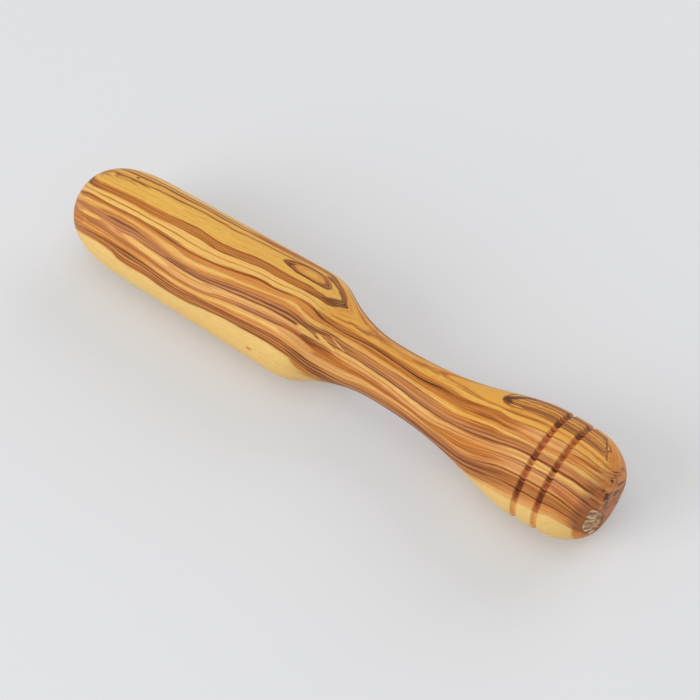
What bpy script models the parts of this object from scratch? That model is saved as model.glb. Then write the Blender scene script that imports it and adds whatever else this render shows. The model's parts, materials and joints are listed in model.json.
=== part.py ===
"""A cocktail muddler turned from one billet of olive wood, lying on its side as on a worktop.

The turned axis runs along X: the round-ended muddling head is at -X, the grooved grip knob at +X.
The shoulder of the head and the fullest place of the knob both touch the plane Z = 0.
The origin is on that plane, under the middle of the muddler.
"""

from collections import namedtuple
from math import atan, cos, pi, radians, sin

import bmesh
import bpy
from mathutils import Matrix, Vector

MM = 0.001

# Lengths along the turned axis, each from the end of the one before, starting at the head's tip
HEAD_DOME_LENGTH = 28.0 * MM
HEAD_TAPER_LENGTH = 61.0 * MM
SHOULDER_LENGTH = 12.5 * MM
WAIST_LENGTH = 25.0 * MM
GRIP_LENGTH = 33.5 * MM
FLARE_LENGTH = 25.0 * MM
KNOB_LENGTH = 13.0 * MM
KNOB_CAP_LENGTH = 12.0 * MM

# Radii at the ends of those lengths
HEAD_DOME_RADIUS = 17.9 * MM
SHOULDER_RADIUS = 19.0 * MM
WAIST_RADIUS = 16.6 * MM
NECK_RADIUS = 9.85 * MM
GRIP_RADIUS = 13.4 * MM
KNOB_RADIUS = 18.5 * MM
KNOB_CAP_RADIUS = 18.0 * MM
END_FLAT_RADIUS = 8.0 * MM

# Rise of the radius for each length along the axis, at the stations that lie in mid curve
WAIST_SLOPE = -0.60
GRIP_SLOPE = 0.25
KNOB_CAP_SLOPE = -0.13

# How full the two rounded ends are: 2 is an ellipse, and more is squarer at the corner
HEAD_DOME_POWER = 2.6
KNOB_CAP_POWER = 1.9

# The two grooves cut round the knob with a round-nosed tool
FIRST_GROOVE_PAST_FULLEST = 1.3 * MM
GROOVE_SPACING = 7.4 * MM
GROOVE_WIDTH = 2.3 * MM
GROOVE_DEPTH = 0.9 * MM

# Fineness of the turned surface
SIDES = 60
END_STEPS = 10
CURVE_STEPS = 7
GROOVE_STEPS = 6
LEAST_STEP = 0.2 * MM
SHARP_ANGLE = radians(32)

WOOD_COLOUR = (0.56, 0.29, 0.09, 1.0)
WOOD_ROUGHNESS = 0.42
WOOD_METALLIC = 0.0

# A place along the axis where the profile is fixed, with its radius and slope there
Station = namedtuple("Station", "place radius slope")


def make_stations():
    """The stations from the end of the head's dome to the start of the knob's cap."""
    taper_slope = (SHOULDER_RADIUS - HEAD_DOME_RADIUS) / HEAD_TAPER_LENGTH
    spans = (
        (HEAD_DOME_LENGTH, HEAD_DOME_RADIUS, taper_slope),
        (HEAD_TAPER_LENGTH, SHOULDER_RADIUS, taper_slope),
        (SHOULDER_LENGTH, WAIST_RADIUS, WAIST_SLOPE),
        (WAIST_LENGTH, NECK_RADIUS, 0.0),
        (GRIP_LENGTH, GRIP_RADIUS, GRIP_SLOPE),
        (FLARE_LENGTH, KNOB_RADIUS, 0.0),
        (KNOB_LENGTH, KNOB_CAP_RADIUS, KNOB_CAP_SLOPE),
    )
    stations = []
    place = 0.0
    for length, radius, slope in spans:
        place += length
        stations.append(Station(place, radius, slope))
    return stations


def rounding(share, power):
    """Height of a rounded end: 1 where it starts, falling to 0 at the full share of its length."""
    return max(1.0 - min(share, 1.0) ** power, 0.0) ** (1.0 / power)


def curve_radius(start, end, place):
    """Radius on the cubic curve that leaves one station and reaches the next at their slopes."""
    span = end.place - start.place
    share = (place - start.place) / span
    ease = share * share * (3.0 - 2.0 * share)
    leaving = share * (1.0 - share) ** 2 * span * start.slope
    reaching = share ** 2 * (share - 1.0) * span * end.slope
    return start.radius + (end.radius - start.radius) * ease + leaving + reaching


def plain_radius(place, stations):
    """Radius of the turned surface at a place along the axis, before the grooves are cut."""
    dome_end, cap_start = stations[0], stations[-1]
    if place < dome_end.place:
        radius = dome_end.radius + dome_end.slope * (place - dome_end.place)
        return radius * rounding(1.0 - place / HEAD_DOME_LENGTH, HEAD_DOME_POWER)
    if place > cap_start.place:
        along = place - cap_start.place
        above_flat = cap_start.radius + cap_start.slope * along - END_FLAT_RADIUS
        return END_FLAT_RADIUS + above_flat * rounding(along / KNOB_CAP_LENGTH, KNOB_CAP_POWER)
    for start, end in zip(stations, stations[1:]):
        if place <= end.place:
            break
    return curve_radius(start, end, place)


def groove_depth(place, grooves):
    """Depth cut away at a place: a rounded trough across each groove, and nothing elsewhere."""
    off_middle = min(abs(place - middle) for middle in grooves) / (GROOVE_WIDTH / 2)
    return GROOVE_DEPTH * max(1.0 - off_middle ** 2, 0.0)


def surface_places(stations, grooves):
    """The places along the axis that the surface needs: close together on curves, few on the taper."""
    quarter_turns = [pi / 2 * step / END_STEPS for step in range(END_STEPS + 1)]
    plain = [HEAD_DOME_LENGTH * (1.0 - cos(turn)) for turn in quarter_turns]
    plain += [stations[1].place]
    for start, end in zip(stations[1:], stations[2:]):
        step_length = (end.place - start.place) / CURVE_STEPS
        plain += [start.place + step_length * step for step in range(1, CURVE_STEPS + 1)]
    plain += [stations[-1].place + KNOB_CAP_LENGTH * sin(turn) for turn in quarter_turns[1:]]
    half = GROOVE_WIDTH / 2
    places = [place for place in plain if all(abs(place - middle) > half + LEAST_STEP for middle in grooves)]
    for middle in grooves:
        places += [middle - half + GROOVE_WIDTH * step / GROOVE_STEPS for step in range(GROOVE_STEPS + 1)]
    return sorted(places)


def resting_pitch(outline, neck_place, flat_share):
    """The downward pitch of the axis when head and knob both touch the ground, and where the head touches."""
    head = [point for point in outline if point[0] < neck_place]
    knob = [point for point in outline if point[0] > neck_place]
    slope = 0.0
    for _ in range(6):
        head_touch = max(head, key=lambda point: point[1] * flat_share + point[0] * slope)
        knob_touch = max(knob, key=lambda point: point[1] * flat_share + point[0] * slope)
        slope = (head_touch[1] - knob_touch[1]) * flat_share / (knob_touch[0] - head_touch[0])
    return atan(slope), head_touch


def spin_outline(name, outline):
    """A closed mesh turned about Z from an outline of places along Z and radii."""
    body = bmesh.new()
    # Half a side's turn puts a flat side, not an edge, under the muddler when it lies down.
    half_side = Matrix.Rotation(pi / SIDES, 3, "Z")
    verts = [body.verts.new(half_side @ Vector((radius, 0.0, place))) for place, radius in outline]
    edges = [body.edges.new(pair) for pair in zip(verts, verts[1:])]
    up = Vector((0.0, 0.0, 1.0))
    bmesh.ops.spin(body, geom=verts + edges, axis=up, angle=2 * pi, steps=SIDES, use_merge=True)
    bmesh.ops.remove_doubles(body, verts=body.verts, dist=0.01 * MM)
    bmesh.ops.recalc_face_normals(body, faces=body.faces)
    mesh = bpy.data.meshes.new(name)
    body.to_mesh(mesh)
    body.free()
    mesh.shade_smooth()
    mesh.set_sharp_from_angle(angle=SHARP_ANGLE)
    return mesh


def olive_wood():
    """Oiled olive wood with a soft sheen."""
    material = bpy.data.materials.new("olive_wood")
    material.use_nodes = True
    surface = material.node_tree.nodes["Principled BSDF"]
    surface.inputs["Base Color"].default_value = WOOD_COLOUR
    surface.inputs["Roughness"].default_value = WOOD_ROUGHNESS
    surface.inputs["Metallic"].default_value = WOOD_METALLIC
    return material


for old in list(bpy.data.objects):
    bpy.data.objects.remove(old, do_unlink=True)

stations = make_stations()
fullest_place = stations[-2].place
grooves = [fullest_place + FIRST_GROOVE_PAST_FULLEST + GROOVE_SPACING * number for number in range(2)]

# The outline runs from the head's tip to the knob's sawn flat, and in to the flat's middle.
outline = [
    (place, plain_radius(place, stations) - groove_depth(place, grooves))
    for place in surface_places(stations, grooves)
]
outline.append((outline[-1][0], 0.0))

muddler = bpy.data.objects.new("muddler_body", spin_outline("muddler_body", outline))
muddler.data.materials.append(olive_wood())
bpy.context.scene.collection.objects.link(muddler)

# Lay the muddler down. Its axis turns from Z to X, then pitches until head and knob both touch the ground.
flat_share = cos(pi / SIDES)
neck_place = stations[3].place
pitch, touch = resting_pitch(outline, neck_place, flat_share)
muddler.rotation_euler = (0.0, pi / 2 + pitch, 0.0)
reaches = [place * cos(pitch) + side * radius * sin(pitch) for place, radius in outline for side in (-1, 1)]
height = touch[0] * sin(pitch) + touch[1] * flat_share * cos(pitch)
muddler.location = (-(min(reaches) + max(reaches)) / 2, 0.0, height)
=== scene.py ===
"""A cocktail muddler turned from one billet of olive wood, lying on a pale floor in soft studio light."""

import json
from collections import namedtuple
from math import atan2, cos, pi, sin

import bpy
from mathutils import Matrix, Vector


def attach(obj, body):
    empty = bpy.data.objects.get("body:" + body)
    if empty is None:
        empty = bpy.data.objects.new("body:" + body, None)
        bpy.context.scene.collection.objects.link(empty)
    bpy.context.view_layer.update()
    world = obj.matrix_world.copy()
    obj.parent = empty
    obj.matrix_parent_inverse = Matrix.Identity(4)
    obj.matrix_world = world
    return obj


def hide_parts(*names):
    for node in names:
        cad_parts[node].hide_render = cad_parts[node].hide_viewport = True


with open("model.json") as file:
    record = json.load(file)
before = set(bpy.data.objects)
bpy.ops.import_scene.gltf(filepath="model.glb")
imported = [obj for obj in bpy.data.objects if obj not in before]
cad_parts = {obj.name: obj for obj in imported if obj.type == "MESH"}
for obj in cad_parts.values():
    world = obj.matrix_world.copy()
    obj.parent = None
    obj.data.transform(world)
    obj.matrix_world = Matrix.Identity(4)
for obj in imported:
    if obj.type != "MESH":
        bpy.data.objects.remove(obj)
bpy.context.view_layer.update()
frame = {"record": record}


# The turned shape
# The muddler is one billet of olive wood turned between centres: a round-ended head that crushes the fruit,
# a slim neck, and a flared knob for the palm. It was sanded smooth and its end sawn off flat.

MM = 0.001

# The profile between its two rounded ends: a place in millimetres from the head's tip, the radius there,
# and how fast the radius grows
Station = namedtuple("Station", "place radius slope")
STATIONS = (
    Station(28.0, 17.9, 0.018),
    Station(89.0, 19.0, 0.018),
    Station(101.5, 16.6, -0.60),
    Station(126.5, 9.85, 0.0),
    Station(160.0, 13.4, 0.25),
    Station(185.0, 18.5, 0.0),
    Station(198.0, 18.0, -0.13),
)
DOME_END, CAP_START = STATIONS[0], STATIONS[-1]
# How full the rounded ends are: 2 is an ellipse, and more is squarer at the corner
DOME_FULLNESS = 2.6
CAP_FULLNESS = 1.9
CAP_LENGTH = 12.0
FLAT_RADIUS = 8.0
LENGTH = CAP_START.place + CAP_LENGTH

# The turned axis ends at the middle of the sawn flat and points out of it.
END_FLAT = frame["record"]["mounts"][0]
AXIS = Vector(END_FLAT["axis"]).normalized()
TIP = Vector(END_FLAT["pos_m"]) - AXIS * LENGTH * MM

# The two grooves cut round the knob with a round-nosed tool
GROOVE_PLACES = (186.3, 193.7)
GROOVE_WIDTH = 2.3
GROOVE_DEPTH = 0.9

# Rows of points along the muddler: how many there are on the dome, each even stretch's start, spacing and
# number of rows, closest across the grooves, and those on the last curve and over the sawn flat
DOME_ROWS = 36
EVEN_ROWS = (
    (29.2, 1.2, 49),
    (88.0, 0.7, 115),
    (168.5, 0.5, 30),
    (183.6, 0.15, 83),
    (196.2, 0.3, 27),
)
LAST_CURVE_START = 204.2
LAST_CURVE_ROWS = 24
FLAT_ROWS = 14
# The sawn flat is a little crowned, so its rows of points lie a hair further out.
FLAT_CROWN = 0.04


def rounding(share, fullness):
    """Height of a rounded end: 1 where it starts, 0 at the full share of its length."""
    return max(1.0 - min(share, 1.0) ** fullness, 0.0) ** (1.0 / fullness)


def plain_radius(place):
    """Radius of the sanded surface in millimetres, before the grooves are cut."""
    if place < DOME_END.place:
        radius = DOME_END.radius + DOME_END.slope * (place - DOME_END.place)
        return radius * rounding(1.0 - place / DOME_END.place, DOME_FULLNESS)
    if place > CAP_START.place:
        along = place - CAP_START.place
        above_flat = CAP_START.radius + CAP_START.slope * along - FLAT_RADIUS
        return FLAT_RADIUS + above_flat * rounding(along / CAP_LENGTH, CAP_FULLNESS)
    for start, end in zip(STATIONS, STATIONS[1:]):
        if place <= end.place:
            break
    span = end.place - start.place
    share = (place - start.place) / span
    ease = share * share * (3.0 - 2.0 * share)
    leaving = share * (1.0 - share) ** 2 * span * start.slope
    reaching = share ** 2 * (share - 1.0) * span * end.slope
    return start.radius + (end.radius - start.radius) * ease + leaving + reaching


def turned_radius(place):
    """Radius in millimetres with the two round-nosed grooves cut into it."""
    off_middle = min(abs(place - middle) for middle in GROOVE_PLACES) / (GROOVE_WIDTH / 2)
    return plain_radius(place) - GROOVE_DEPTH * max(1.0 - off_middle ** 2, 0.0)


def row_places():
    """The places along the axis where the surface gets a row of points."""
    places = [DOME_END.place * (1.0 - cos(pi / 2 * row / DOME_ROWS)) for row in range(DOME_ROWS + 1)]
    for start, spacing, count in EVEN_ROWS:
        places += [start + spacing * row for row in range(count)]
    curve = LENGTH - LAST_CURVE_START
    turns = [pi / 2 * row / LAST_CURVE_ROWS for row in range(LAST_CURVE_ROWS + 1)]
    places += [LAST_CURVE_START + curve * sin(turn) for turn in turns]
    return sorted(set(round(place, 3) for place in places))


outline = [(place, turned_radius(place)) for place in row_places()]
flat_shares = [1.0 - row / FLAT_ROWS for row in range(1, FLAT_ROWS + 1)]
outline += [(LENGTH + FLAT_CROWN * (1.0 - share ** 2), FLAT_RADIUS * share) for share in flat_shares]

axis_mesh = bpy.data.meshes.new("turning_axis")
axis_mesh.from_pydata(
    [TIP + AXIS * place * MM for place, radius in outline],
    [(row, row + 1) for row in range(len(outline) - 1)],
    [],
)
axis_mesh.attributes.new("turned_radius", "FLOAT", "POINT")
axis_mesh.attributes["turned_radius"].data.foreach_set("value", [radius * MM for place, radius in outline])

# Swells that hand sanding leaves
SWELLS_PER_METRE = 90.0
# Across the sides of the torn patch: along the muddler, down the rim, and out over the sawn flat
TORN_SIDES = ((1.0, 0.0, 0.0), (0.0, -0.93, -0.50), (0.0, 0.91, -0.48))
# How fast its splinters differ across each of those sides
SPLINTER_GRAIN = (0.3, 1.0, 0.25)


def fill(socket, value):
    """Gives a socket a plain value, or links another node's output to it."""
    if isinstance(value, Amount):
        value = value.output
    if isinstance(value, bpy.types.NodeSocket):
        socket.id_data.links.new(value, socket)
    else:
        socket.default_value = value


def add(tree, kind, inputs=None, **settings):
    """A new node with its settings and its inputs, which are named or counted."""
    node = tree.nodes.new(kind)
    for name, value in settings.items():
        setattr(node, name, value)
    for name, value in (inputs or {}).items():
        fill(node.inputs[name], value)
    return node


class Amount:
    """A number that varies from place to place. Arithmetic on it adds the nodes that work it out."""

    def __init__(self, output):
        self.output = output
        self.tree = output.id_data

    def step(self, operation, *others):
        """The result of one step of arithmetic on the amount."""
        numbers = dict(enumerate((self, *others)))
        return Amount(add(self.tree, "ShaderNodeMath", numbers, operation=operation).outputs[0])

    def __add__(self, other):
        return self.step("ADD", other)

    def __sub__(self, other):
        return self.step("SUBTRACT", other)

    def __mul__(self, other):
        return self.step("MULTIPLY", other)

    def __truediv__(self, other):
        return self.step("DIVIDE", other)

    def __abs__(self):
        return self.step("ABSOLUTE")

    def at_least(self, other):
        """The greater of the amount and another."""
        return self.step("MAXIMUM", other)

    def at_most(self, other):
        """The lesser of the amount and another."""
        return self.step("MINIMUM", other)

    def rise(self, start, end, low=0.0, high=1.0, shape="SMOOTHSTEP"):
        """A mask that goes from low to high as the amount goes from start to end."""
        node = add(self.tree, "ShaderNodeMapRange", {
            "Value": self, "From Min": start, "From Max": end, "To Min": low, "To Max": high,
        }, interpolation_type=shape)
        return Amount(node.outputs["Result"])


def vector_step(operation, first, second):
    """The result of one step of arithmetic on two vectors, of which the first varies from place to place."""
    node = add(first.id_data, "ShaderNodeVectorMath", {0: first, 1: second}, operation=operation)
    return node.outputs["Value" if operation == "DOT_PRODUCT" else "Vector"]


def new_tree(name, kind, inputs, outputs):
    """A node group with named inputs and outputs: its tree, its input node and its output node."""
    tree = bpy.data.node_groups.new(name, kind)
    for socket_name, socket_kind, value in inputs:
        socket_kind = "NodeSocket" + socket_kind
        socket = tree.interface.new_socket(socket_name, in_out="INPUT", socket_type=socket_kind)
        if value is not None:
            socket.default_value = value
    for socket_name, socket_kind in outputs:
        tree.interface.new_socket(socket_name, in_out="OUTPUT", socket_type="NodeSocket" + socket_kind)
    return tree, tree.nodes.new("NodeGroupInput"), tree.nodes.new("NodeGroupOutput")


def turning_tree(material):
    """Turns the surface round the axis, roughens the torn rim, and gives it its wood."""
    tree, given, result = new_tree(
        "turned_on_the_lathe", "GeometryNodeTree",
        [("Axis", "Geometry", None), ("Sides", "Int", 64), ("Hand Unevenness", "Float", 0.0),
         ("Torn Place", "Vector", (0.0, 0.0, 0.0)), ("Torn Reach", "Vector", (1.0, 1.0, 1.0)),
         ("Torn Depth", "Float", 0.0), ("Splinters Per Metre", "Float", 500.0)],
        [("Muddler", "Geometry")],
    )
    radius = add(tree, "GeometryNodeInputNamedAttribute", {"Name": "turned_radius"}, data_type="FLOAT")
    axis = add(tree, "GeometryNodeMeshToCurve", {"Mesh": given.outputs["Axis"]})
    ring = add(tree, "GeometryNodeCurvePrimitiveCircle", {
        "Resolution": given.outputs["Sides"], "Radius": 1.0,
    })
    surface = add(tree, "GeometryNodeCurveToMesh", {
        "Curve": axis.outputs["Curve"], "Profile Curve": ring.outputs["Curve"],
        "Scale": radius.outputs["Attribute"], "Fill Caps": False,
    })
    closed = add(tree, "GeometryNodeMergeByDistance", {
        "Geometry": surface.outputs["Mesh"], "Distance": 0.01 * MM,
    })
    normal = add(tree, "GeometryNodeInputNormal").outputs["Normal"]
    place = add(tree, "GeometryNodeInputPosition").outputs["Position"]

    # Sanding by hand leaves the surface uneven by a few hundredths of a millimetre.
    swell = add(tree, "ShaderNodeTexNoise", {"Vector": place, "Scale": SWELLS_PER_METRE, "Detail": 1.0})
    uneven = (Amount(swell.outputs["Fac"]) - 0.5) * given.outputs["Hand Unevenness"]

    # At the torn rim long splinters have come away, deepest in the middle of a patch with square corners.
    off = vector_step("SUBTRACT", place, given.outputs["Torn Place"])
    sides = add(tree, "ShaderNodeCombineXYZ")
    for socket, side in zip(sides.inputs, TORN_SIDES):
        fill(socket, vector_step("DOT_PRODUCT", off, side))
    sides = sides.outputs["Vector"]
    shares = vector_step("DIVIDE", sides, given.outputs["Torn Reach"])
    squares = vector_step("MULTIPLY", shares, shares)
    inside = Amount(vector_step("DOT_PRODUCT", squares, squares)).rise(1.0, 0.3)
    splinters = add(tree, "ShaderNodeTexNoise", {
        "Vector": vector_step("MULTIPLY", sides, SPLINTER_GRAIN),
        "Scale": given.outputs["Splinters Per Metre"], "Detail": 2.0, "Roughness": 0.6,
    })
    torn = inside * splinters.outputs["Fac"]
    height = uneven - torn * given.outputs["Torn Depth"]
    shaped = add(tree, "GeometryNodeSetPosition", {
        "Geometry": closed.outputs["Geometry"], "Offset": vector_step("MULTIPLY", normal, height),
    })
    marked = add(tree, "GeometryNodeStoreNamedAttribute", {
        "Geometry": shaped.outputs["Geometry"], "Name": "torn", "Value": torn,
    }, data_type="FLOAT", domain="POINT")
    smooth = add(tree, "GeometryNodeSetShadeSmooth", {"Geometry": marked.outputs["Geometry"]})
    whole = add(tree, "GeometryNodeRealizeInstances", {"Geometry": smooth.outputs["Geometry"]})
    wooden = add(tree, "GeometryNodeSetMaterial", {
        "Geometry": whole.outputs["Geometry"], "Material": material,
    })
    fill(result.inputs["Muddler"], wooden.outputs["Geometry"])
    return tree


# The growth rings
# The billet was sawn from a branch. Its pith runs close under the surface of the muddler's far upper side,
# and every growth ring is a sleeve round that line, so the turned surface shows the rings as long streaks.

# The pith, in millimetres across and above the turned axis: at mid length, its drift over half the
# muddler's length, and its slow sway
PITH_ACROSS, PITH_ABOVE = 6.04, 17.71
PITH_DRIFT_ACROSS, PITH_DRIFT_ABOVE = 2.62, -1.10
PITH_SWAY_LENGTH = 95.0
PITH_SWAY_ACROSS = (0.83, 0.90)
PITH_SWAY_ABOVE = (1.64, -1.52)


def pith_tree():
    """Finds a point's place in the branch from its place in the billet: along it, its ring, and round it."""
    tree, given, result = new_tree(
        "place_in_the_branch", "ShaderNodeTree",
        [("Place", "Vector", None)],
        [("Along", "Float"), ("Ring", "Float"), ("Round", "Float")],
    )
    split = add(tree, "ShaderNodeSeparateXYZ", {"Vector": given.outputs["Place"]})
    along = Amount(split.outputs["X"])
    share = (along - LENGTH / 2) / (LENGTH / 2)
    sway = share * (pi * LENGTH / PITH_SWAY_LENGTH)
    offsets = []
    for axis, middle, drift, (height, start) in (
        ("Y", PITH_ACROSS, PITH_DRIFT_ACROSS, PITH_SWAY_ACROSS),
        ("Z", PITH_ABOVE, PITH_DRIFT_ABOVE, PITH_SWAY_ABOVE),
    ):
        pith = (sway + start).step("COSINE") * height + share * drift + middle
        offsets.append(Amount(split.outputs[axis]) - pith)
    across, above = offsets
    ring = (across * across + above * above).step("SQRT")
    # The angle starts on the side of the pith where there is no wood, so its seam is never seen.
    outward = atan2(PITH_ABOVE, PITH_ACROSS)
    forward = across * cos(outward) + above * sin(outward)
    sideways = above * cos(outward) - across * sin(outward)
    turn = sideways.step("ARCTAN2", forward * -1.0)
    for name, amount in (("Along", along), ("Ring", ring), ("Round", turn)):
        fill(result.inputs[name], amount)
    return tree


# Growth lines that can be followed from the head to the knob, from the pith outwards. Each has the ring
# radius that it has on average, and its ring radius at places along the billet, all in millimetres.
GROWTH_LINES = (
    (4.6, ((0, 6.8), (8, 6.6), (26, 5.3), (43, 4.3), (50, 3.9), (60, 4.9), (74, 4.5), (84, 5.3), (94, 4.8),
           (100, 4.0), (104, 3.2), (140, 3.0), (165, 2.6), (210, 2.7))),
    (7.8, ((0, 9.3), (16, 8.6), (31, 8.0), (46, 7.0), (52, 7.0), (61, 7.9), (76, 7.3), (84, 7.8), (96, 6.9),
           (101.5, 5.6), (104, 4.9), (140, 5.0), (186, 5.2), (200, 4.7), (210, 4.6))),
    (9.5, ((0, 10.5), (21, 10.1), (41, 9.3), (58, 9.8), (76, 9.1), (84, 9.4), (91, 8.8), (101, 7.9),
           (109, 7.9), (119, 9.6), (124, 10.1), (134, 9.6), (147, 7.8), (157, 6.5), (166, 6.4), (172, 7.3),
           (190, 6.8), (202, 6.6), (210, 8.0))),
    (12.0, ((0, 14.0), (3, 13.1), (9, 12.0), (18, 12.4), (31, 11.6), (39, 11.6), (53, 12.2), (61, 12.2),
            (71, 11.4), (79, 10.8), (86, 11.3), (95, 10.4), (99, 9.9), (103, 10.5), (119, 10.9),
            (132, 11.4), (142, 10.9), (149, 9.6), (157, 8.9), (166, 8.5), (176, 10.2), (185, 10.0),
            (198, 9.4), (210, 8.0))),
    (13.4, ((0, 13.8), (6, 13.3), (16, 13.4), (33, 12.8), (48, 13.9), (56, 14.3), (64, 14.1), (84, 13.6),
            (94, 12.5), (98, 13.0), (109, 11.8), (119, 12.5), (130, 13.0), (150, 12.4), (167, 13.0),
            (177, 14.0), (185, 14.5), (194, 13.6), (204, 12.3), (210, 12.0))),
    (15.0, ((0, 15.5), (16, 14.7), (29, 14.0), (46, 15.8), (54, 16.2), (61, 16.0), (71, 14.8), (79, 14.2),
            (94, 13.5), (101, 14.4), (108, 13.7), (116, 14.3), (150, 14.6), (167, 14.0), (177, 15.0),
            (190, 14.8), (200, 14.2), (210, 13.0))),
    (17.6, ((0, 17.0), (6, 16.5), (16, 17.0), (26, 18.0), (33, 17.4), (51, 17.9), (66, 18.0), (76, 17.5),
            (98, 17.2), (111, 16.0), (124, 16.7), (134, 17.1), (143, 17.8), (172, 17.9), (197, 17.5),
            (210, 16.3))),
    (20.0, ((0, 18.2), (16, 19.2), (36, 20.5), (46, 21.2), (56, 21.5), (63, 21.3), (71, 20.1), (79, 19.6),
            (96, 19.2), (105, 18.5), (114, 18.8), (129, 19.8), (139, 20.7), (147, 21.2), (157, 20.5),
            (172, 19.9), (192, 19.4), (198, 19.6), (210, 19.2))),
    (23.4, ((0, 23.5), (16, 23.0), (36, 22.9), (51, 23.5), (71, 23.2), (94, 23.0), (104, 23.9), (114, 24.4),
            (124, 23.1), (140, 22.6), (152, 23.6), (165, 24.6), (180, 23.7), (210, 23.7))),
    (26.0, ((0, 26.5), (13, 25.0), (24, 25.1), (32, 26.8), (40, 26.4), (51, 26.5), (68, 25.3), (84, 25.1),
            (99, 25.9), (104, 27.2), (111, 28.6), (118, 30.0), (150, 30.5), (160, 29.5), (192, 29.4),
            (200, 28.6), (210, 28.3))),
)
WIDEST_RING = 40.0


def follow_line(along, points):
    """The ring radius of one growth line at a place along the billet."""
    node = add(along.tree, "ShaderNodeFloatCurve", {"Value": along / LENGTH})
    curve = node.mapping.curves[0]
    while len(curve.points) < len(points):
        curve.points.new(0.5, 0.5)
    for point, (place, ring) in zip(curve.points, points):
        point.location = (place / LENGTH, ring / WIDEST_RING)
        point.handle_type = "AUTO_CLAMPED"
    node.mapping.update()
    return Amount(node.outputs["Value"]) * WIDEST_RING


def layer_tree():
    """Straightens the rings: between two growth lines the layers are spread evenly."""
    tree, given, result = new_tree(
        "straightened_rings", "ShaderNodeTree",
        [("Along", "Float", 0.0), ("Ring", "Float", 0.0)],
        [("Layer", "Float")],
    )
    along, ring = (Amount(given.outputs[name]) for name in ("Along", "Ring"))
    inner_line, inner_layer, layer = 0.0, 0.0, 0.0
    for average, points in GROWTH_LINES:
        line = follow_line(along, points)
        passed = add(tree, "ShaderNodeClamp", {"Value": (ring - inner_line) / (line - inner_line)})
        layer = Amount(passed.outputs["Result"]) * (average - inner_layer) + layer
        inner_line, inner_layer = line, average
    beyond = (ring - inner_line).at_least(0.0)
    fill(result.inputs["Layer"], layer + beyond)
    return tree


# The wood's colours
# Olive wood has pale golden heartwood with brown and purple-brown mineral streaks that follow the rings,
# and a light straw-coloured sapwood outside them. Oil has deepened all of them.


def paint(red, green, blue):
    """A colour from its 0 to 255 values as seen, in the linear values that materials take."""
    shares = [value / 255 for value in (red, green, blue)]
    linear = [share / 12.92 if share <= 0.04045 else ((share + 0.055) / 1.055) ** 2.4 for share in shares]
    return (*linear, 1.0)


GOLD = paint(234, 186, 90)
DEEP_GOLD = paint(229, 169, 72)
STRAW = paint(237, 195, 110)
TAN = paint(226, 172, 104)
HONEY = paint(217, 153, 80)
AMBER = paint(208, 135, 60)
BROWN = paint(188, 114, 50)
ROSE_BROWN = paint(200, 134, 80)
RUSSET = paint(214, 142, 86)
PURPLE_BROWN = paint(176, 113, 74)
DARK_BROWN = paint(156, 87, 38)
DUSKY = paint(134, 80, 54)
BURNT = paint(112, 58, 28)
BLACKENED = paint(92, 40, 18)
ORANGE = paint(226, 144, 62)
KNOB_GOLD = paint(239, 180, 84)
SAPWOOD = paint(233, 197, 121)
DEEP_SAPWOOD = paint(231, 188, 110)
OLD_STAIN = paint(64, 46, 36)
END_STAIN = paint(138, 96, 66)

# The streaks of each stretch of the billet: layers from the pith outwards, and the colour that each has.
# A ramp holds 32 colours at most, so the head's and the knob's streaks go on in another at these layers.
HEAD_GOES_ON = (18.1, 18.3)
KNOB_GOES_ON, KNOB_ENDS = (17.2, 17.3), (24.2, 24.3)
HEAD_TIP_STREAKS = (
    (0.0, GOLD), (4.4, GOLD), (5.3, AMBER), (6.1, BROWN), (6.7, HONEY), (7.2, BROWN), (7.9, AMBER),
    (8.5, STRAW), (9.2, STRAW), (9.7, AMBER), (10.1, STRAW), (11.3, STRAW), (11.6, BROWN),
    (11.95, DARK_BROWN), (12.35, DARK_BROWN), (12.6, AMBER), (13.3, HONEY), (13.8, STRAW), (14.9, HONEY),
    (15.3, AMBER), (15.7, PURPLE_BROWN), (17.8, ROSE_BROWN), (18.4, TAN), (18.9, TAN), (19.8, BROWN),
    (20.5, BROWN), (21.1, HONEY), (22.8, HONEY), (23.6, DARK_BROWN), (24.3, PURPLE_BROWN), (25.4, BROWN),
    (26.45, SAPWOOD),
)
HEAD_STREAKS = (
    (0.0, GOLD), (4.35, GOLD), (4.6, DARK_BROWN), (4.85, AMBER), (5.15, DARK_BROWN), (5.45, AMBER),
    (5.8, BROWN), (6.1, AMBER), (6.4, BROWN), (6.75, DARK_BROWN), (7.05, HONEY), (7.3, BROWN),
    (7.5, HONEY), (7.75, DARK_BROWN), (8.0, HONEY), (8.2, STRAW), (9.3, STRAW), (9.6, AMBER), (9.9, STRAW),
    (11.45, STRAW), (11.75, BURNT), (12.05, AMBER), (13.2, HONEY), (13.6, STRAW), (14.4, STRAW),
    (14.9, HONEY), (15.9, HONEY), (16.2, PURPLE_BROWN), (17.3, PURPLE_BROWN), (17.75, DARK_BROWN),
    (18.05, TAN), (20.1, BROWN),
)
OUTER_HEAD_STREAKS = (
    (18.05, TAN), (19.3, TAN), (20.1, BROWN), (20.7, HONEY), (21.2, TAN), (21.9, STRAW), (22.8, HONEY),
    (23.3, HONEY), (23.6, DARK_BROWN), (24.0, PURPLE_BROWN), (24.5, DARK_BROWN), (24.9, PURPLE_BROWN),
    (25.6, BROWN), (26.1, BURNT), (26.5, SAPWOOD), (40.0, DEEP_SAPWOOD),
)
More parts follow.
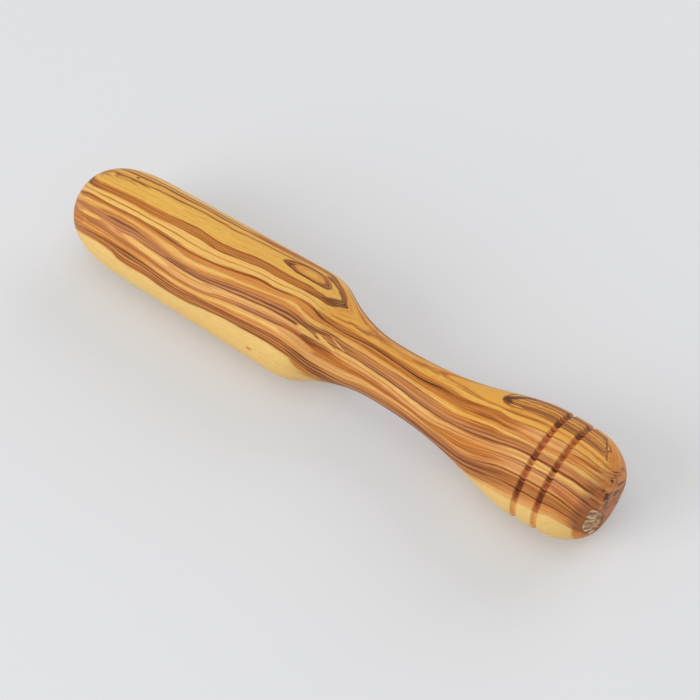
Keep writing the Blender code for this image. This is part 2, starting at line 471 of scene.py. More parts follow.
NECK_STREAKS = (
    (0.0, DEEP_GOLD), (9.1, DEEP_GOLD), (9.35, AMBER), (9.7, GOLD), (10.3, DEEP_GOLD), (10.8, AMBER),
    (11.3, AMBER), (11.7, DARK_BROWN), (12.2, BURNT), (12.6, BROWN), (13.2, AMBER), (13.7, GOLD),
    (14.2, TAN), (14.8, DARK_BROWN), (15.1, ROSE_BROWN), (17.0, ROSE_BROWN), (17.6, BURNT), (18.0, TAN),
    (18.4, STRAW), (18.8, TAN), (19.1, AMBER), (19.4, TAN), (19.8, TAN), (20.3, BROWN), (20.9, BROWN),
    (21.5, AMBER), (22.1, TAN), (22.9, TAN), (23.5, HONEY), (24.2, PURPLE_BROWN), (25.6, DUSKY),
    (30.0, SAPWOOD),
)
GRIP_STREAKS = (
    (0.0, DEEP_GOLD), (8.8, DEEP_GOLD), (9.25, AMBER), (9.6, BROWN), (9.9, AMBER), (10.2, GOLD),
    (11.4, GOLD), (11.7, AMBER), (12.4, AMBER), (12.8, BROWN), (13.2, AMBER), (13.7, DEEP_GOLD),
    (14.3, STRAW), (14.8, DEEP_GOLD), (15.3, AMBER), (16.1, BROWN), (16.6, ROSE_BROWN), (17.3, ROSE_BROWN),
    (17.7, DARK_BROWN), (18.1, HONEY), (18.6, TAN), (19.0, AMBER), (19.3, TAN), (19.8, HONEY),
    (20.3, AMBER), (21.8, AMBER), (22.5, HONEY), (23.2, ROSE_BROWN), (23.8, PURPLE_BROWN),
    (25.3, DARK_BROWN), (25.6, HONEY), (26.2, SAPWOOD),
)
KNOB_STREAKS = (
    (0.0, DEEP_GOLD), (4.3, DEEP_GOLD), (4.55, BURNT), (4.9, BROWN), (5.2, DARK_BROWN), (5.45, BROWN),
    (5.75, BURNT), (6.1, DARK_BROWN), (6.4, BURNT), (6.6, BROWN), (7.0, AMBER), (7.4, DARK_BROWN),
    (7.65, AMBER), (7.85, BROWN), (8.1, GOLD), (8.4, KNOB_GOLD), (9.1, KNOB_GOLD), (9.45, BROWN),
    (9.75, HONEY), (10.1, KNOB_GOLD), (10.7, GOLD), (11.4, KNOB_GOLD), (11.7, BROWN), (12.0, TAN),
    (12.8, TAN), (13.3, HONEY), (13.8, HONEY), (14.2, STRAW), (14.9, STRAW), (15.6, ROSE_BROWN),
    (16.8, ROSE_BROWN), (17.3, BROWN),
)
MIDDLE_KNOB_STREAKS = (
    (16.8, ROSE_BROWN), (17.3, PURPLE_BROWN), (17.7, DARK_BROWN), (17.95, TAN), (18.3, STRAW), (18.9, TAN),
    (19.25, HONEY), (19.6, TAN), (20.0, STRAW), (20.3, ROSE_BROWN), (21.0, ROSE_BROWN), (21.6, TAN),
    (22.7, TAN), (23.15, ROSE_BROWN), (23.4, DARK_BROWN), (23.8, BROWN), (24.2, ROSE_BROWN), (24.6, BROWN),
)
OUTER_KNOB_STREAKS = (
    (24.2, ROSE_BROWN), (24.55, BROWN), (24.8, ROSE_BROWN), (25.2, HONEY), (25.4, AMBER), (25.6, TAN),
    (25.95, TAN), (26.1, AMBER), (26.3, SAPWOOD), (40.0, DEEP_SAPWOOD),
)
# Beyond the fine dark line across the knob's heart
CLOSED_STREAKS = (
    (0.0, DEEP_GOLD), (4.2, DEEP_GOLD), (4.6, BURNT), (5.0, BURNT), (5.4, ORANGE), (8.0, ORANGE),
)
# Over the pith in the knob the rings are cut lengthwise, so there the streaks lie side by side. Each place
# is in millimetres across, from the far edge of that strip.
HEART_MIDDLE = 6.0
HEART_STREAKS = (
    (0.0, DEEP_GOLD), (2.2, DEEP_GOLD), (2.5, BROWN), (2.8, DEEP_GOLD), (3.6, DEEP_GOLD),
    (3.9, DARK_BROWN), (4.2, DEEP_GOLD), (5.0, AMBER), (5.3, DARK_BROWN), (5.6, DEEP_GOLD),
    (6.4, DEEP_GOLD), (6.7, BROWN), (7.0, AMBER), (7.3, DEEP_GOLD), (7.7, DARK_BROWN), (8.0, DEEP_GOLD),
    (8.5, AMBER), (9.0, DEEP_GOLD),
)

RINGS_PER_MM = 1.33
# What a fine dark line makes of the brown wood and of the pale wood that it crosses
LINE_SHADE = paint(146, 104, 78)
PALE_LINE_SHADE = paint(200, 112, 76)

# Where one stretch gives way to the next, and how ragged that edge is
TIP_TO_HEAD = (34.0, 50.0)
HEAD_TO_NECK = (98.0, 106.0)
NECK_TO_GRIP = (142.0, 154.0)
GRIP_TO_KNOB = (170.0, 182.0)
FAR_HEAD_END = (97.0, 91.0)
RAGGEDNESS = 7.0

# The inmost rings, round the pith, change abruptly: a dark streak closes in a point at the shoulder, and
# another opens in a hook at the knob. Each slant is in millimetres along for each one out from the pith,
# or across from it to the near side.
INMOST_LAYER = 8.0
SHOULDER_POINT, POINT_ACROSS = 106.4, -0.8
POINT_NEAR_SLANT, POINT_FAR_SLANT = 0.73, 1.8
POINT_THICKNESS = 3.0
POINT_START = (92.0, 98.0)
KNOB_OPENING, OPENING_SLANT = 162.4, 1.33
HEART_OPENING, HEART_SLANT = 166.7, 1.25
KNOB_CLOSING = 204.2
# The fine dark line across the knob's heart
CROSS_LINE, CROSS_SLANT = 201.9, 0.61
CROSS_LINE_RINGS = (5.4, 5.0)
# The hook where the knob's streak opens: how far in from its edge it goes, and through which layers
HOOK_THICKNESS = (4.0, 3.0)
HOOK_LAYERS = (6.4, 5.8)
# The strip over the pith in the knob, and the sapwood
HEART_LAYERS = (4.5, 4.2)
HEART_START = (160.0, 166.0)
HEARTWOOD_LAYERS = (26.6, 25.8)
# The plain gold wood over the pith in neck and grip, which has few fine lines
PLAIN_LAYERS = (8.9, 8.3)
PLAIN_START = (106.0, 112.0)

# Beyond the pith the rings are wider apart by this share, which sways along the billet.
FAR_SPREAD = 0.12
FAR_SWAY = 0.05
FAR_SWAY_PER_MM = 0.11

# The mottled brown wood of the head, where the lines fray: along the billet, and its first and last rings
MOTTLED_ALONG = (48.0, 22.0)
MOTTLED_FROM = (13.0, 15.5)
MOTTLED_TO = (22.5, 21.0)
MOTTLED_FRAYING = 1.8

# The head's far side, beyond the pith, has streaks of its own, which follow a line of their own.
FAR_LINE_LAYER = 3.6
FAR_LINE = ((0, 7.0), (8, 5.2), (15, 3.2), (20, 2.9), (25, 3.2), (30, 4.0), (45, 4.2), (55, 3.4), (61, 3.0),
            (98, 3.1), (210, 3.1))
FAR_STREAKS = (
    (0.0, GOLD), (3.2, GOLD), (3.5, DARK_BROWN), (4.0, AMBER), (4.5, GOLD), (5.7, GOLD), (6.3, BROWN),
    (6.9, BURNT), (7.4, GOLD), (8.3, HONEY), (8.9, BROWN), (9.4, STRAW), (12.5, STRAW), (13.0, AMBER),
    (13.5, STRAW), (16.0, HONEY), (17.0, PURPLE_BROWN), (18.0, DARK_BROWN), (18.5, STRAW), (20.5, HONEY),
    (21.0, DUSKY), (23.5, BROWN), (24.5, DARK_BROWN), (25.0, SAPWOOD), (40.0, DEEP_SAPWOOD),
)

# The eye at the shoulder, where the turned surface just grazes a nested knot of rings. Each loop, from the
# outer one inwards: its middle along, half length, half depth, and colours from its middle to its edge
EYE_LOOPS = (
    (89.2, 9.6, 2.95, ((0.0, BROWN), (0.6, AMBER), (0.8, BROWN), (0.9, BURNT), (1.0, BURNT))),
    (89.6, 6.6, 2.1, ((0.0, GOLD), (0.5, GOLD), (0.75, DEEP_GOLD), (1.0, HONEY))),
)

# Patches where the streaks run together, break up or bulge out: place along, ring, half length, half depth,
# how far the ring rises for each millimetre along, and the colour. First those on the near side of the pith.
NEAR_PATCHES = (
    (3.6, 8.2, 2.4, 0.9, 0.1, DUSKY),
    (7.0, 21.0, 4.0, 1.6, 0.0, AMBER),
    (13.5, 18.0, 4.5, 0.55, -0.02, STRAW),
    (27.0, 15.3, 7.0, 0.5, -0.03, DUSKY),
    (18.0, 19.6, 10.0, 0.5, 0.06, PURPLE_BROWN),
    (38.0, 19.0, 9.5, 0.85, 0.06, STRAW),
    (50.5, 17.4, 4.5, 0.5, 0.0, DUSKY),
    (57.0, 18.8, 6.0, 0.22, -0.01, STRAW),
    (57.0, 19.3, 9.0, 0.22, 0.0, BROWN),
    (36.0, 26.1, 7.5, 0.55, 0.0, AMBER),
    (84.5, 29.6, 1.2, 0.4, 0.0, AMBER),
    (84.0, 19.9, 9.0, 0.65, 0.0, PURPLE_BROWN),
    (98.0, 6.1, 5.5, 0.55, -0.2, DARK_BROWN),
    (110.0, 19.7, 9.0, 1.2, 0.02, AMBER),
    (99.0, 20.9, 6.5, 1.2, 0.0, TAN),
    (98.6, 15.3, 4.5, 0.55, 0.0, PURPLE_BROWN),
    (112.0, 14.8, 4.5, 0.5, 0.0, PURPLE_BROWN),
    (93.0, 16.6, 9.0, 0.9, 0.0, DUSKY),
    (103.6, 14.7, 6.4, 0.6, -0.27, DUSKY),
    (102.8, 19.0, 2.6, 0.6, 0.05, DUSKY),
    (105.5, 25.6, 9.0, 1.5, 0.17, DUSKY),
    (104.0, 27.9, 4.5, 0.9, 0.3, AMBER),
    (106.0, 18.3, 5.0, 0.75, 0.0, PURPLE_BROWN),
    (101.2, 17.1, 3.4, 0.75, -0.03, STRAW),
    (107.6, 16.4, 3.6, 0.75, 0.26, STRAW),
    (108.2, 15.9, 3.0, 0.16, 0.28, DARK_BROWN),
    (111.3, 15.1, 2.8, 0.3, 0.37, TAN),
    (104.5, 10.0, 4.0, 0.4, 0.1, BROWN),
    (108.0, 7.7, 4.2, 0.22, 0.0, BROWN),
    (114.2, 8.5, 3.0, 0.22, 0.21, BROWN),
    (199.5, 10.9, 6.5, 0.8, -0.22, AMBER),
    (209.2, 10.4, 0.9, 0.45, 0.6, OLD_STAIN),
    (209.0, 14.9, 1.5, 1.5, 0.0, END_STAIN),
    (209.6, 14.2, 0.4, 0.4, 0.0, OLD_STAIN),
    (207.6, 18.0, 1.2, 0.3, 0.0, DUSKY),
    (203.0, 21.3, 9.5, 1.7, 0.0, RUSSET),
    (203.0, 19.7, 9.5, 0.5, 0.0, PURPLE_BROWN),
    (203.0, 23.4, 7.0, 0.4, 0.0, DARK_BROWN),
    (203.0, 24.2, 6.0, 0.5, 0.0, DARK_BROWN),
    (167.5, 3.1, 1.7, 1.3, 0.45, BLACKENED),
    (168.4, 4.4, 1.2, 0.4, 0.25, BLACKENED),
    (173.0, 3.2, 4.0, 0.35, 0.12, DARK_BROWN),
    (171.8, 4.05, 2.2, 0.25, 0.1, GOLD),
    (207.6, 29.0, 2.2, 5.0, 0.0, AMBER),
)
FAR_PATCHES = (
    (19.0, 4.2, 0.7, 0.45, 0.0, BURNT),
    (99.5, 3.9, 5.0, 1.2, 0.05, DARK_BROWN),
    (78.0, 5.8, 15.0, 1.4, 0.0, BROWN),
    (115.0, 10.2, 2.6, 0.22, -0.25, BROWN),
    (167.1, 3.0, 1.1, 0.9, 1.4, BLACKENED),
    (170.0, 4.65, 3.2, 0.3, 0.17, BLACKENED),
)


def streak_colours(share, streaks, widest=WIDEST_RING):
    """The colour at each layer's share of the widest, blended smoothly from one streak to the next."""
    node = add(share.tree, "ShaderNodeValToRGB", {"Fac": share})
    stops = node.color_ramp.elements
    while len(stops) < len(streaks):
        stops.new(0.5)
    for stop, (layer, colour) in zip(stops, streaks):
        stop.position = layer / widest
        stop.color = colour
    return node.outputs["Color"]


def mix(share, first, second, blend="MIX"):
    """Two colours mixed by a share, which is an amount, or a plain number where the first colour varies."""
    tree = share.tree if isinstance(share, Amount) else first.id_data
    node = add(tree, "ShaderNodeMix", data_type="RGBA", blend_type=blend)
    for name, value in (("Factor_Float", share), ("A_Color", first), ("B_Color", second)):
        fill(next(socket for socket in node.inputs if socket.identifier == name), value)
    return next(socket for socket in node.outputs if socket.identifier == "Result_Color")


def paleness_of(colour):
    """How pale a colour is, from 0 to 1."""
    return Amount(add(colour.id_data, "ShaderNodeRGBToBW", {"Color": colour}).outputs["Val"])


def use(tree, group, inputs):
    """Places a node group in a tree, fills its inputs, and gives its outputs."""
    node = tree.nodes.new("ShaderNodeGroup")
    node.node_tree = group
    for name, value in inputs.items():
        fill(node.inputs[name], value)
    return node.outputs


def eye_tree():
    """How far a point is out from the middle of an eye: 0 at the middle, 1 at its outer loop."""
    names = ("Along", "Ring", "Middle", "Half Length", "Half Depth")
    tree, given, result = new_tree(
        "eye_loops", "ShaderNodeTree", [(name, "Float", 1.0) for name in names], [("Out", "Float")],
    )
    along, ring, middle, half_length, half_depth = (Amount(given.outputs[name]) for name in names)
    lengthwise = (along - middle) / half_length
    outward = ring / half_depth
    # One end is pointed and the other blunt.
    blunt = lengthwise.rise(-0.6, 0.6, 1.5, 2.6)
    bulge = abs(lengthwise).step("POWER", blunt) + outward * outward
    fill(result.inputs["Out"], bulge.step("SQRT"))
    return tree


def patch_tree():
    """A mask for a long lens-shaped patch that slants across the rings."""
    names = ("Along", "Ring", "Middle Along", "Middle Ring", "Half Length", "Half Depth", "Slant")
    tree, given, result = new_tree(
        "streak_patch", "ShaderNodeTree", [(name, "Float", 1.0) for name in names], [("Mask", "Float")],
    )
    along, ring, middle_along, middle_ring, half_length, half_depth, slant = (
        Amount(given.outputs[name]) for name in names
    )
    off = along - middle_along
    lengthwise = off / half_length
    outward = (ring - middle_ring - off * slant) / half_depth
    fill(result.inputs["Mask"], (lengthwise * lengthwise + outward * outward).rise(1.4, 0.6))
    return tree


def streak_tree(layers):
    """The wood's colour by its place in the branch, with the fine lines inside each streak."""
    tree, given, result = new_tree(
        "olive_streaks", "ShaderNodeTree",
        [("Along", "Float", 0.0), ("Ring", "Float", 0.0), ("Round", "Float", 0.0), ("Wander", "Float", 0.8),
         ("Feathering", "Float", 0.9), ("Fine Lines", "Float", 0.85)],
        [("Color", "Color"), ("Heartwood", "Float")],
    )
    along, ring, turn = (Amount(given.outputs[name]) for name in ("Along", "Ring", "Round"))

    def grain_noise(depth, across, lengthwise, around, detail=1.0):
        """Noise drawn out along the grain, by how fast it changes across layers, along and round them."""
        place = add(tree, "ShaderNodeCombineXYZ", {
            "X": along * lengthwise, "Y": depth * across, "Z": turn * around,
        })
        noise = add(tree, "ShaderNodeTexNoise", {
            "Vector": place.outputs["Vector"], "Scale": 1.0, "Detail": detail,
        })
        return Amount(noise.outputs["Fac"])

    # On the far side of the pith the rings are further apart.
    near = turn.rise(-0.3, 0.3)
    far = turn.rise(0.3, -0.3)
    closer = (along * FAR_SWAY_PER_MM).step("SINE") * FAR_SWAY - FAR_SPREAD
    ring = ring * far * closer + ring

    # The lines wander a little, as the rings never lie quite evenly, and fray where they are mottled.
    wander = grain_noise(ring, 0.35, 0.07, 2.0, 2.0) - 0.5
    feather = grain_noise(ring, 1.3, 0.08, 4.0, 2.0) - 0.5
    mottled = along.rise(*MOTTLED_ALONG) * ring.rise(*MOTTLED_FROM) * ring.rise(*MOTTLED_TO)
    frayed = feather * (mottled * MOTTLED_FRAYING + given.outputs["Feathering"])
    smooth_ring = wander * given.outputs["Wander"] + ring
    frayed_ring = (smooth_ring + frayed).at_least(0.0)
    smooth_layer = Amount(use(tree, layers, {"Along": along, "Ring": smooth_ring})["Layer"])
    layer = smooth_layer + frayed
    share = layer / WIDEST_RING
    across = frayed_ring * turn.step("SINE")

    # How far a point is past the edges between the inmost streaks
    inmost = layer.rise(INMOST_LAYER + 0.2, INMOST_LAYER - 0.2)
    opened = along - frayed_ring * OPENING_SLANT - KNOB_OPENING
    opened = opened.at_most(along + across * HEART_SLANT - HEART_OPENING)
    off_point = across - POINT_ACROSS
    swept = (off_point * POINT_NEAR_SLANT).at_least(off_point * -POINT_FAR_SLANT)
    past_point = along + swept - SHOULDER_POINT
    off_cross = along - across * CROSS_SLANT - CROSS_LINE

    # Elsewhere the edges between two stretches are ragged.
    ragged_place = along + grain_noise(ring, 0.7, 0.05, 1.0) * (2 * RAGGEDNESS) - RAGGEDNESS

    def stretch_share(blend, past_edge):
        """How far one stretch has given way to the next, whose edge is crisp in the inmost rings."""
        ragged = ragged_place.rise(*blend)
        return (past_edge.rise(-0.2, 0.2) - ragged) * inmost + ragged

    def coloured(streaks):
        """The colours of one stretch."""
        return streak_colours(share, streaks)

    # The knob, from its plain streaks to the strip over the pith, the hook and the fine line across it
    middle_knob = coloured(MIDDLE_KNOB_STREAKS)
    knob = mix(layer.rise(*KNOB_GOES_ON), coloured(KNOB_STREAKS), middle_knob)
    knob = mix(layer.rise(*KNOB_ENDS), knob, coloured(OUTER_KNOB_STREAKS))
    heart = layer.rise(*HEART_LAYERS)
    heart_share = (across + HEART_MIDDLE) / WIDEST_RING
    knob = mix(heart, knob, streak_colours(heart_share, HEART_STREAKS))
    hook = layer.rise(*HOOK_LAYERS) * opened.rise(*HOOK_THICKNESS)
    knob = mix(hook, knob, BLACKENED)
    past_cross = off_cross.rise(0.2, 0.6) * inmost
    knob = mix(past_cross, knob, coloured(CLOSED_STREAKS))
    closed = along.rise(KNOB_CLOSING, KNOB_CLOSING + 0.7) * inmost
    knob = mix(closed, knob, ORANGE)
    cross_line = abs(off_cross).rise(0.5, 0.25) * ring.rise(*CROSS_LINE_RINGS)
    knob = mix(cross_line, knob, BURNT)

    # One stretch after another
    outer_head = coloured(OUTER_HEAD_STREAKS)
    head = mix(layer.rise(*HEAD_GOES_ON), coloured(HEAD_STREAKS), outer_head)
    colour = mix(ragged_place.rise(*TIP_TO_HEAD), coloured(HEAD_TIP_STREAKS), head)
    colour = mix(stretch_share(HEAD_TO_NECK, past_point), colour, coloured(NECK_STREAKS))
    colour = mix(ragged_place.rise(*NECK_TO_GRIP), colour, coloured(GRIP_STREAKS))
    colour = mix(stretch_share(GRIP_TO_KNOB, opened), colour, knob)

    # The far side of the head
    far_layer = frayed_ring / (closer + 1.0) - follow_line(along, FAR_LINE) + FAR_LINE_LAYER
    far_colour = streak_colours(far_layer / WIDEST_RING, FAR_STREAKS)
    colour = mix(far * ragged_place.rise(*FAR_HEAD_END), colour, far_colour)

    # The eye at the shoulder, whose loops are its own fine lines' rings too
    line_layer = smooth_layer
    loop = eye_tree()
    for middle, half_length, half_depth, loop_colours in EYE_LOOPS:
        out = Amount(use(tree, loop, {
            "Along": along, "Ring": smooth_ring, "Middle": middle, "Half Length": half_length,
            "Half Depth": half_depth,
        })["Out"])
        inside = out.rise(1.12, 1.0)
        colour = mix(inside, colour, streak_colours(out, loop_colours, 1.0))
        line_layer = (out * half_depth - line_layer) * inside + line_layer
    in_heart = heart * along.rise(*HEART_START)
    line_layer = (across + HEART_MIDDLE - line_layer) * in_heart + line_layer

    # The dark streak that closes in a point at the shoulder
    closing = past_point.rise(-POINT_THICKNESS - 0.4, -POINT_THICKNESS + 0.4) * past_point.rise(0.2, -0.2)
    closing = closing * along.rise(*POINT_START) * layer.rise(INMOST_LAYER, INMOST_LAYER - 0.5)
    colour = mix(closing, colour, BURNT)

    # The patches on each side of the pith
    patch = patch_tree()
    for side, patches in ((near, NEAR_PATCHES), (far, FAR_PATCHES)):
        for middle, middle_ring, half_length, half_depth, slant, patch_colour in patches:
            mask = use(tree, patch, {
                "Along": along, "Ring": smooth_ring, "Middle Along": middle, "Middle Ring": middle_ring,
                "Half Length": half_length, "Half Depth": half_depth, "Slant": slant,
            })["Mask"]
            colour = mix(side * mask, colour, patch_colour)

    # Blots: here and there a brown streak is darker or lighter for a few centimetres.
    paleness = paleness_of(colour)
    brown = paleness.rise(0.46, 0.20)
    blots = grain_noise(layer, 0.8, 0.035, 0.8, 2.0)
    colour = mix(blots.rise(0.52, 0.68, 0.0, 0.45) * brown, colour, DUSKY)
    colour = mix(blots.rise(0.46, 0.32, 0.0, 0.40) * brown, colour, HONEY)

    # Fine lines: the growth rings themselves, a little over one to the millimetre, and thinner lines
    # between them that come and go
    unevenly = grain_noise(line_layer, 0.45, 0.008, 0.7) * 2.0
    rings = ((line_layer * RINGS_PER_MM + unevenly) * (2 * pi)).step("SINE")
    ring_line = rings.rise(0.25, 0.80, shape="LINEAR")
    thin_line = grain_noise(line_layer, 1.7, 0.012, 0.7).rise(0.50, 0.62, shape="LINEAR")
    coming = grain_noise(line_layer, 0.9, 0.025, 1.0).rise(0.38, 0.58, 0.35, 1.0)
    finest = grain_noise(line_layer, 3.3, 0.02, 0.9).rise(0.48, 0.66, 0.0, 0.75, "LINEAR")
    line = (ring_line.at_least(thin_line) * coming).at_least(finest)

    # Between them the brown wood is lighter, except in the hook, which is dark throughout.
    lined = hook * opened.rise(-1.0, -0.5) * -0.8 + 1.0
    in_brown = paleness.rise(0.40, 0.17) * given.outputs["Fine Lines"] * lined
    light_line = rings.rise(0.1, -0.6, 0.0, 0.75, "LINEAR") * in_brown
    colour = mix(light_line, colour, HONEY)

    # The lines are faint in the sapwood, and in the plain gold wood over the pith.
    heartwood = layer.rise(*HEARTWOOD_LAYERS)
    plain = layer.rise(*PLAIN_LAYERS) * along.rise(*PLAIN_START) * opened.rise(0.3, -0.3)
    plain = plain.at_least(past_cross)
    darkening = paleness.rise(0.56, 0.20, 0.38, 1.0) * given.outputs["Fine Lines"]
    darkening = darkening * (heartwood * 0.75 + 0.25) * (plain * -0.8 + 1.0)
    line_shade = mix(paleness.rise(0.24, 0.46), LINE_SHADE, PALE_LINE_SHADE)
    colour = mix(line * darkening, colour, line_shade, "MULTIPLY")

    fill(result.inputs["Color"], colour)
    fill(result.inputs["Heartwood"], heartwood)
    return tree


# The material
# Sanded olive wood, finished with oil and with a soft sheen: fine fibres along the grain, open pores, end
# grain that drank more oil, groove floors darker from oil and painted shade in their recess, and a grey
# weathered patch where the rim tore, with painted shade round its edge and in its gaps.

FIBRE_SHADE = paint(150, 92, 44)
# What oil, together with painted shade in the recess, makes of the heartwood and of the sapwood in the
# grooves
GROOVE_OIL_AND_SHADE = paint(205, 160, 160)
PALE_GROOVE = paint(248, 208, 188)
# The darkest painted shade on the grooves' floors, where the wood is brown
GROOVE_SHADE = paint(52, 30, 26)
END_GRAIN = paint(228, 136, 62)
END_OIL = paint(206, 200, 236)
END_DIRT = paint(66, 48, 38)
# The broken fibres of the torn rim, from the painted shade in the gaps between them to the palest fibre
TORN_FIBRES_AND_GAP_SHADE = (
    (0.32, paint(124, 86, 60)), (0.42, paint(163, 125, 93)), (0.52, paint(199, 161, 124)),
    (0.62, paint(235, 205, 167)),
)
# Painted shade along the tear's edge, where the rim steps down into it
TORN_EDGE_SHADE = paint(112, 72, 50)
# Where round the muddler the tear is, and how fast its fibres differ along, out from the axis and round
TORN_ANGLE = 0.75
TORN_GRAIN = (0.15, 0.15, 1.4)
FIBRE_GRAIN = (0.10, 1.0, 1.0)
SHEEN = 0.11
# How far the grooves' darkening, from oil and painted shade, spreads raggedly beside them
GROOVE_DARK_SPREAD = 1.2
# Where the end grain begins, where oil has soaked in, and where dirt has gone into the sawn end
TIP_GRAIN, KNOB_GRAIN = (4.0, 0.3), (204.5, 208.5)
SOAKED_FROM, SOAKED_RINGS = (202.5, 206.5), (8.0, 20.0)
SAWN_FLAT = (208.0, 209.4)
DIRT_FROM, DIRT_RINGS = (205.6, 208.4), (21.0, 17.0)
BUMP_HEIGHT = 0.05 * MM


def olive_wood():
    """The whole finish. It reads the billet's own millimetres, from the head's tip along the axis."""
    material = bpy.data.materials.new("oiled_olive_wood")
    material.use_nodes = True
    tree = material.node_tree
    surface = tree.nodes["Principled BSDF"]

    coordinates = add(tree, "ShaderNodeTexCoord")
    billet = add(tree, "ShaderNodeMapping", {
        "Vector": coordinates.outputs["Object"], "Location": TIP,
        "Rotation": (0.0, atan2(-AXIS.z, AXIS.x), 0.0), "Scale": (MM, MM, MM),
    }, vector_type="TEXTURE").outputs["Vector"]
    branch = use(tree, pith_tree(), {"Place": billet})
    along = Amount(branch["Along"])
    ring = Amount(branch["Ring"])
    place_in_branch = {name: branch[name] for name in ("Along", "Ring", "Round")}
    streaks = use(tree, streak_tree(layer_tree()), place_in_branch)
    colour = streaks["Color"]
    heartwood = Amount(streaks["Heartwood"])

    def wood_noise(place, scale, detail, roughness=0.5):
        """Noise by the place in the billet."""
        noise = add(tree, "ShaderNodeTexNoise", {
            "Vector": place, "Scale": scale, "Detail": detail, "Roughness": roughness,
        })
        return Amount(noise.outputs["Fac"])

    # Fibres: short, very thin streaks along the grain
    fibres = wood_noise(vector_step("MULTIPLY", billet, FIBRE_GRAIN), 3.2, 3.0, 0.65)
    colour = mix(fibres.rise(0.35, 0.75, 0.0, 0.28, "LINEAR"), colour, FIBRE_SHADE)

    # Groove floors, darker from oil and painted shade in the recess, with ragged edges
    first, second = (abs(along - place) for place in GROOVE_PLACES)
    off_groove = first.at_most(second) + GROOVE_DARK_SPREAD / 2 - wood_noise(billet, 0.6, 2.0) * GROOVE_DARK_SPREAD
    groove = off_groove.rise(GROOVE_WIDTH * 0.60, GROOVE_WIDTH * 0.10)
    paleness = paleness_of(colour)
    oiled_and_shaded = mix(1.0, colour, GROOVE_OIL_AND_SHADE, "MULTIPLY")
    shaded_groove = mix(paleness.rise(0.36, 0.12, 0.0, 0.65), oiled_and_shaded, GROOVE_SHADE)
    pale_groove = mix(1.0, colour, PALE_GROOVE, "MULTIPLY")
    colour = mix(groove, colour, mix(heartwood, pale_groove, shaded_groove))

    # End grain, soaked and dirty towards the sawn flat
    ends = along.rise(*TIP_GRAIN).at_least(along.rise(*KNOB_GRAIN))
    colour = mix(ends * 0.55, colour, END_GRAIN)
    soaked = along.rise(*SOAKED_FROM) * ring.rise(*SOAKED_RINGS, 0.4, 1.0)
    soaked = soaked * along.rise(*SAWN_FLAT, 1.0, 0.6) * heartwood
    colour = mix(soaked, colour, END_OIL, "MULTIPLY")
    dirt = wood_noise(billet, 0.42, 1.0).rise(0.44, 0.62) * along.rise(*DIRT_FROM)
    dirt = dirt * paleness.rise(0.42, 0.20, 0.2, 0.85) * ring.rise(*DIRT_RINGS, 0.35, 1.0)
    colour = mix(dirt, colour, END_DIRT)

    # Torn rim, with a painted shade round its edge and in the gaps between its fibres. Its broken fibres lie
    # along the muddler and over the rim, so they differ most round it.
    torn = Amount(add(tree, "ShaderNodeAttribute", attribute_name="torn").outputs["Fac"])
    torn_share = torn.rise(0.05, 0.32)
    turned = add(tree, "ShaderNodeVectorRotate", {
        "Vector": billet, "Angle": TORN_ANGLE,
    }, rotation_type="X_AXIS")
    broken = wood_noise(vector_step("MULTIPLY", turned.outputs["Vector"], TORN_GRAIN), 1.0, 3.0, 0.6)
    colour = mix(torn.rise(0.0, 0.08, 0.0, 0.45), colour, TORN_EDGE_SHADE)
    colour = mix(torn_share, colour, streak_colours(broken, TORN_FIBRES_AND_GAP_SHADE, 1.0))

    surface.inputs["Specular IOR Level"].default_value = SHEEN
    fill(surface.inputs["Base Color"], colour)
    fill(surface.inputs["Roughness"], torn_share * 0.4 + fibres * 0.20 + 0.34)
    bump = add(tree, "ShaderNodeBump", {"Height": fibres, "Strength": 0.25, "Distance": BUMP_HEIGHT})
    fill(surface.inputs["Normal"], bump.outputs["Normal"])
    return material


# The finished muddler
# The turned surface with its torn rim, as one closed mesh in its wood. The tear is 9 mm by 8 mm, on the near
# lower side of the rim, and up to 2 mm deep.

SIDES = 240
HAND_UNEVENNESS = 0.12
TORN_PLACE = Vector((209.0, -8.2, -0.6))
TORN_REACH = Vector((4.5, 4.2, 6.1))
TORN_DEPTH = 2.2
SPLINTERS_PER_METRE = 900.0


def new_object(name, data):
    """A new object in the scene."""
    made = bpy.data.objects.new(name, data)
    bpy.context.scene.collection.objects.link(made)
    return made


turning = turning_tree(olive_wood())
axis_object = new_object("turning_axis", axis_mesh)
lathe = axis_object.modifiers.new("lathe", "NODES")
lathe.node_group = turning
settings = {
    "Sides": SIDES,
    "Hand Unevenness": HAND_UNEVENNESS * MM,
    "Torn Place": TIP + (AXIS * TORN_PLACE.x + Vector((0.0, TORN_PLACE.y, TORN_PLACE.z))) * MM,
    "Torn Reach": TORN_REACH * MM,
    "Torn Depth": TORN_DEPTH * MM,
    "Splinters Per Metre": SPLINTERS_PER_METRE,
}
for item in turning.interface.items_tree:
    if item.in_out == "INPUT" and item.name in settings:
        lathe[item.identifier] = settings[item.name]

bpy.context.view_layer.update()
evaluated = axis_object.evaluated_get(bpy.context.evaluated_depsgraph_get())
muddler = new_object("turned_muddler", bpy.data.meshes.new_from_object(evaluated))
bpy.data.objects.remove(axis_object, do_unlink=True)

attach(muddler, "root")
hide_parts("muddler_body")


# The floor
# A plain pale studio floor of matt paint, on which the muddler lies. It isn't part of the object, and only
# takes its soft shadow.

FLOOR_SIZE = 4.0
# The floor lies a hair lower than the muddler's lowest flat side, so that its round surface isn't cut.
FLOOR_HEIGHT = -0.05 * MM
FLOOR_COLOUR = paint(219, 220, 222)
# The share of the floor's paleness that the camera sees without the light on it, so that shadows stay light
EVEN_SHARE = 0.18


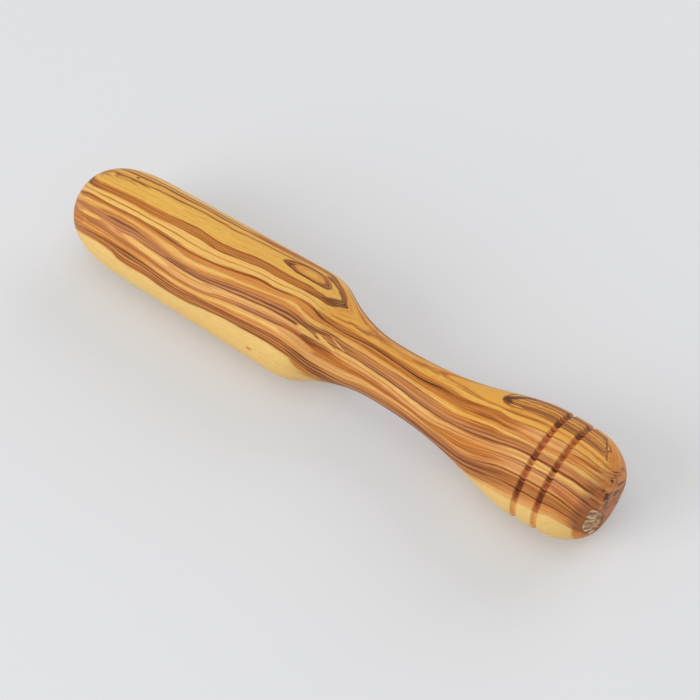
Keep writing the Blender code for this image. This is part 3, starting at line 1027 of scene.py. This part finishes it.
def floor_material():
    """Pale matt paint, which the camera sees a little lighter than the lamps make it."""
    material = bpy.data.materials.new("pale_floor")
    material.use_nodes = True
    tree = material.node_tree
    surface = tree.nodes["Principled BSDF"]
    surface.inputs["Base Color"].default_value = FLOOR_COLOUR
    surface.inputs["Roughness"].default_value = 0.6
    surface.inputs["Specular IOR Level"].default_value = 0.2
    even = add(tree, "ShaderNodeEmission", {"Color": FLOOR_COLOUR, "Strength": 1.0})
    rays = add(tree, "ShaderNodeLightPath").outputs
    seen = Amount(rays["Is Camera Ray"]).at_least(rays["Is Glossy Ray"])
    seen = seen.at_least(rays["Is Transmission Ray"])
    both = add(tree, "ShaderNodeMixShader", {
        0: seen * EVEN_SHARE, 1: surface.outputs["BSDF"], 2: even.outputs["Emission"],
    })
    fill(tree.nodes["Material Output"].inputs["Surface"], both.outputs["Shader"])
    return material


floor_mesh = bpy.data.meshes.new("studio_floor")
half = FLOOR_SIZE / 2
corners = [(x * half, y * half, FLOOR_HEIGHT) for x, y in ((-1, -1), (1, -1), (1, 1), (-1, 1))]
floor_mesh.from_pydata(corners, [], [(0, 1, 2, 3)])
floor_mesh.materials.append(floor_material())
floor = new_object("studio_floor", floor_mesh)


# Light and camera
# Broad soft lamps in front of the muddler, above it and behind it, and even light all round.
# The camera looks down on it from the front right, as in the photograph.

# Each lamp's name, place and side in metres, and its power in watts. They all shine at the origin.
LAMPS = (
    ("back_lamp", (0.2, 1.2, 0.7), 1.2, 7.6),
    ("overhead_lamp", (0.2, -0.4, 1.4), 1.2, 5.0),
    ("front_lamp", (-0.6, -1.2, 0.75), 1.0, 12.6),
)
LIGHT_ALL_ROUND = 0.50

for name, place, size, power in LAMPS:
    lamp = bpy.data.lights.new(name, "AREA")
    lamp.size = size
    lamp.energy = power
    holder = new_object(name, lamp)
    holder.location = place
    holder.rotation_euler = (-Vector(place)).to_track_quat("-Z", "Y").to_euler()

world = bpy.data.worlds.new("studio_light")
world.use_nodes = True
background = world.node_tree.nodes["Background"]
background.inputs["Color"].default_value = (1.0, 1.0, 1.0, 1.0)
background.inputs["Strength"].default_value = LIGHT_ALL_ROUND
bpy.context.scene.world = world

CAMERA_PLACE = Vector((0.2283, -0.3063, 0.5443))
CAMERA_AIM = Vector((0.0061, 0.0003, 0.0189))
# The photograph's focal length is 2000 of its 700 pixels across.
FOCAL_SHARE = 2000 / 700

camera = bpy.data.cameras.new("studio_camera")
camera.sensor_width = 36.0
camera.lens = camera.sensor_width * FOCAL_SHARE
camera_holder = new_object("studio_camera", camera)
camera_holder.location = CAMERA_PLACE
camera_holder.rotation_euler = (CAMERA_AIM - CAMERA_PLACE).to_track_quat("-Z", "Y").to_euler()
bpy.context.scene.camera = camera_holder
bpy.context.scene.view_settings.view_transform = "Standard"
